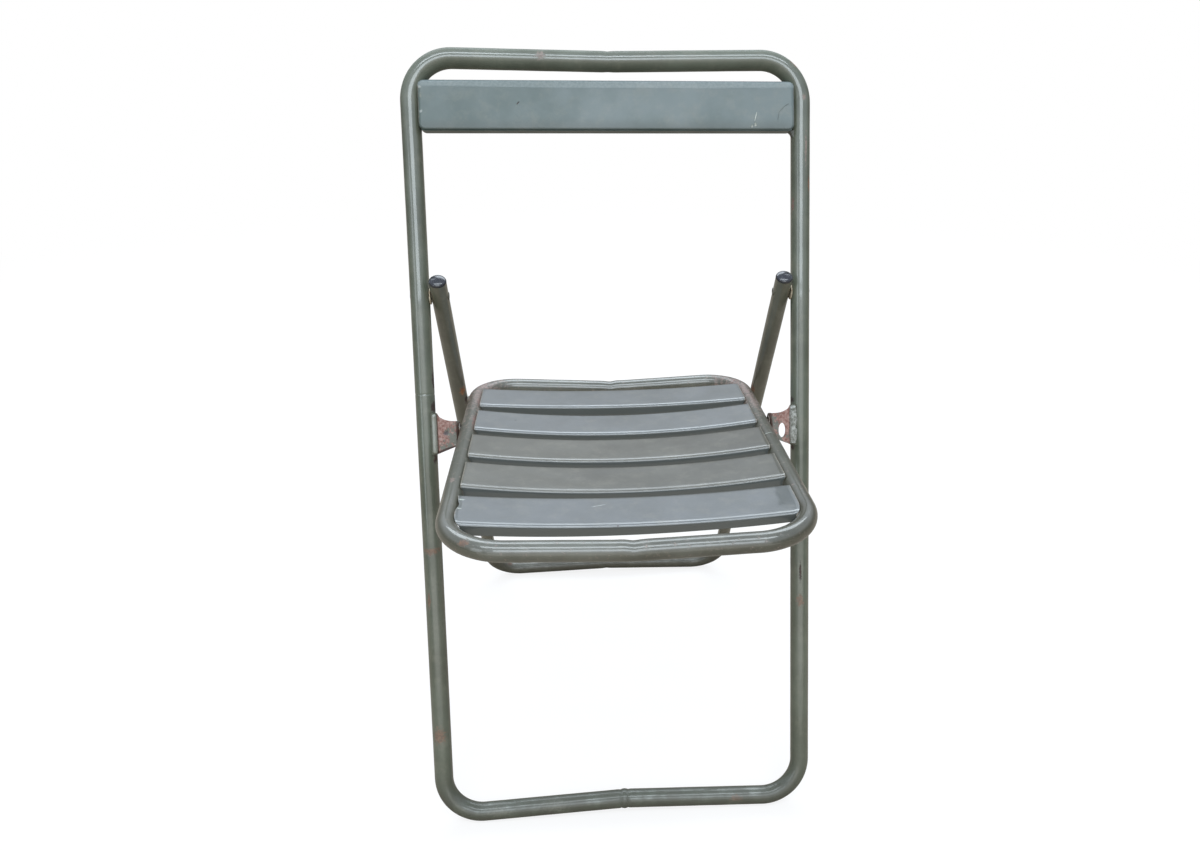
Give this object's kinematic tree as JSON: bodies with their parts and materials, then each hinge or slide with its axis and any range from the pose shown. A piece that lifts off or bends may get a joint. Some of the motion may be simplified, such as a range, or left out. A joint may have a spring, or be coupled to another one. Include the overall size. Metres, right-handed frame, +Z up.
{
  "type": "folding chair",
  "caption": "Steel tube folding chair with a slatted sheet seat, a narrow backrest panel and a rear leg that folds with the seat against the leaning main frame.",
  "frame": {"origin": "on the floor, midway between the open chair's left and right sides and between its foremost and rearmost points", "axes": "+Z up, +Y towards the back of the chair, +X to the right as seen from the front; stored open"},
  "size_m": [0.4222, 0.5688, 0.763],
  "materials": {
    "tube_paint": "worn satin olive grey paint",
    "sheet_paint": "worn satin grey green paint",
    "bracket_paint": "rusted paint",
    "leg_washer": "pale fibre, dull",
    "leg_cap": "black, glossy",
    "bare_steel": "dull steel"
  },
  "bodies": {
    "frame": {"main_frame": "tube_paint", "main_frame_sleeve": "bare_steel", "backrest_panel": "sheet_paint", "seat_bracket_left": "bracket_paint", "seat_bracket_right": "bracket_paint", "leg_rivet_left": "bare_steel", "leg_rivet_right": "bare_steel", "leg_washer_left": "leg_washer", "leg_washer_right": "leg_washer", "seat_rivet_left": "bare_steel", "seat_rivet_right": "bare_steel", "seat_washer_left": "bare_steel", "seat_washer_right": "bare_steel"},
    "seat": {"seat_frame": "tube_paint", "seat_frame_sleeve": "bare_steel", "seat_slat_1": "sheet_paint", "seat_slat_2": "sheet_paint", "seat_slat_3": "sheet_paint", "seat_slat_4": "sheet_paint", "seat_slat_5": "sheet_paint", "slide_pin_left": "bare_steel", "slide_pin_right": "bare_steel"},
    "rear_leg": {"rear_leg": "tube_paint", "rear_leg_cap_left": "leg_cap", "rear_leg_cap_right": "leg_cap"}
  },
  "joints": [
    {"name": "seat_fold", "type": "hinge", "parent": "frame", "child": "seat", "pos_m": [0, -0.02747, 0.40642], "axis": [-1, 0, 0], "range_deg": [0, 98.01]},
    {"name": "rear_leg_fold", "type": "hinge", "parent": "frame", "child": "rear_leg", "pos_m": [0, 0.02441, 0.53484], "axis": [-1, 0, 0], "range_deg": [0, 45.5]}
  ],
  "couplings": [
    {"joint": "rear_leg_fold", "follows": "seat_fold", "ratio": 0.46422}
  ]
}
